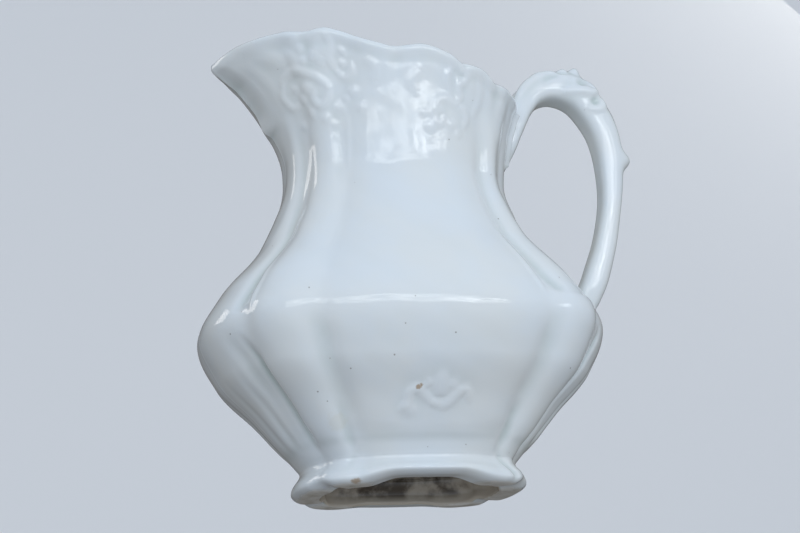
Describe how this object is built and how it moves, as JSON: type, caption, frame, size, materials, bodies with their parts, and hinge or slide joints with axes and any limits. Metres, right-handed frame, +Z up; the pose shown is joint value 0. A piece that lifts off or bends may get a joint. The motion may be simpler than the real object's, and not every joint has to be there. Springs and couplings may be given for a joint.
{
  "type": "cream jug",
  "caption": "Small white glazed china cream jug with a lobed belly, drawn-out pouring lip, scalloped rim, spreading foot and leaf-topped loop handle.",
  "frame": {"origin": "under the middle of the overall length and depth, on the surface the jug stands on", "axes": "+X from the spout towards the handle, +Y across the jug, +Z up"},
  "size_m": [0.1212, 0.0838, 0.1202],
  "materials": {
    "body_glaze": "glossy clear glaze over white china",
    "foot_glaze": "glossy clear glaze, wiped from the standing face",
    "handle_glaze": "glossy clear glaze over white china",
    "slip": "white slip under clear glaze"
  },
  "bodies": {
    "root": {"front_body_half": "body_glaze", "back_body_half": "body_glaze", "base_disc": "body_glaze", "foot_ring": "foot_glaze", "handle": "handle_glaze", "upper_handle_lute": "slip", "lower_handle_lute": "slip"}
  },
  "joints": []
}
